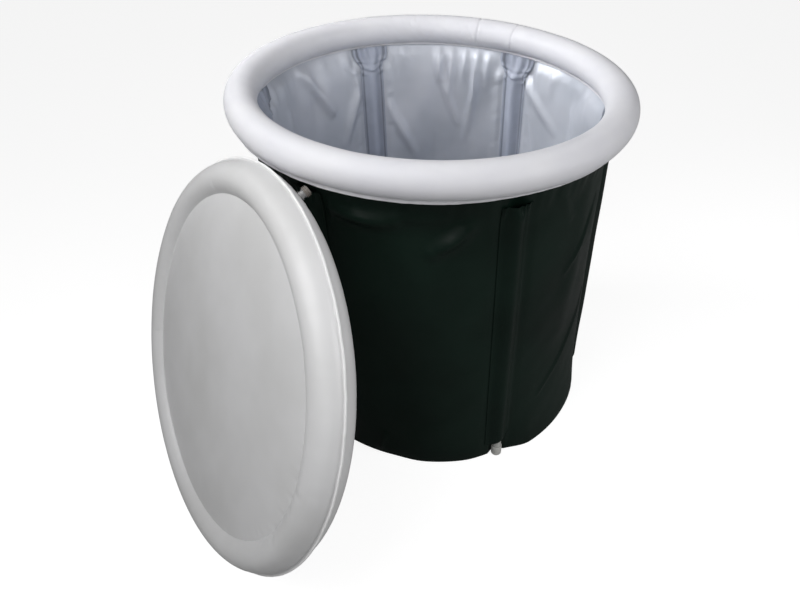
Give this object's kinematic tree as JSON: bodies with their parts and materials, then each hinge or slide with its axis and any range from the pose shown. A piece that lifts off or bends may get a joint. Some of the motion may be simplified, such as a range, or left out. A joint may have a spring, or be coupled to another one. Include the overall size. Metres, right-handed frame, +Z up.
{
  "type": "cold plunge tub",
  "caption": "Round portable cold plunge tub: dark soft wall on poles in pockets, silvery liner, white inflatable ring round the rim, and a round inflatable lid leaning against it.",
  "frame": {"origin": "on the floor, in the middle of the base", "axes": "+Z up, -Y towards the picture's viewer, +X to the viewer's right; the lid leans at the front left"},
  "size_m": [0.9977, 1.1421, 0.75],
  "materials": {
    "wall_fabric": "satin coated fabric",
    "foam": "closed-cell foam",
    "liner_film": "silvery satin film",
    "clear_strip": "bluish translucent film",
    "ring_film": "white satin film",
    "lid_film": "white satin film",
    "pole_tube": "white plastic tube",
    "foot_plastic": "white moulded plastic",
    "clear_plastic": "clear soft plastic",
    "drain_plastic": "white moulded plastic",
    "washer_rubber": "black rubber"
  },
  "bodies": {
    "tub": {"base_panel": "wall_fabric", "base_foam": "foam", "liner_floor": "liner_film", "outer_wall": "wall_fabric", "wall_foam": "foam", "liner_wall": "liner_film", "pole_pocket_1": "wall_fabric", "pole_pocket_2": "wall_fabric", "pole_pocket_3": "wall_fabric", "pole_pocket_4": "wall_fabric", "pole_pocket_5": "wall_fabric", "pole_pocket_6": "wall_fabric", "pole_1": "pole_tube", "pole_2": "pole_tube", "pole_3": "pole_tube", "pole_4": "pole_tube", "pole_5": "pole_tube", "pole_6": "pole_tube", "pole_foot_1": "foot_plastic", "pole_foot_2": "foot_plastic", "pole_foot_3": "foot_plastic", "pole_foot_4": "foot_plastic", "pole_foot_5": "foot_plastic", "pole_foot_6": "foot_plastic", "pole_plug_1": "foot_plastic", "pole_plug_2": "foot_plastic", "pole_plug_3": "foot_plastic", "pole_plug_4": "foot_plastic", "pole_plug_5": "foot_plastic", "pole_plug_6": "foot_plastic", "liner_strip_1": "clear_strip", "liner_strip_2": "clear_strip", "liner_strip_3": "clear_strip", "liner_strip_4": "clear_strip", "liner_strip_5": "clear_strip", "liner_strip_6": "clear_strip", "ring_upper_film": "ring_film", "ring_lower_film": "ring_film", "ring_valve_body": "clear_plastic", "drain_body": "drain_plastic", "drain_outer_washer": "washer_rubber", "drain_inner_washer": "washer_rubber", "drain_nut": "drain_plastic"},
    "lid": {"lid_front_film": "lid_film", "lid_back_film": "lid_film", "lid_inner_band": "lid_film", "lid_valve_body": "clear_plastic"},
    "lid_cap": {"lid_valve_cap": "clear_plastic"},
    "ring_cap": {"ring_valve_cap": "clear_plastic"},
    "drain_plug": {"drain_cap": "drain_plastic"}
  },
  "joints": [
    {"name": "lid_swing", "type": "hinge", "parent": "tub", "child": "lid", "pos_m": [-0.32233, -0.30198, 0.75122], "axis": [-0.711, 0.6927, -0.1206], "range_deg": [0, 248.48]},
    {"name": "lid_cap_slide", "type": "slide", "parent": "lid", "child": "lid_cap", "axis": [0.7509, 0.441, 0.4915], "range_m": [0, 0.007]},
    {"name": "ring_cap_slide", "type": "slide", "parent": "tub", "child": "ring_cap", "axis": [-0.342, 0.9397, 0], "range_m": [0, 0.007]},
    {"name": "drain_cap_slide", "type": "slide", "parent": "tub", "child": "drain_plug", "axis": [0.9063, 0.4226, 0], "range_m": [0, 0.022]}
  ]
}
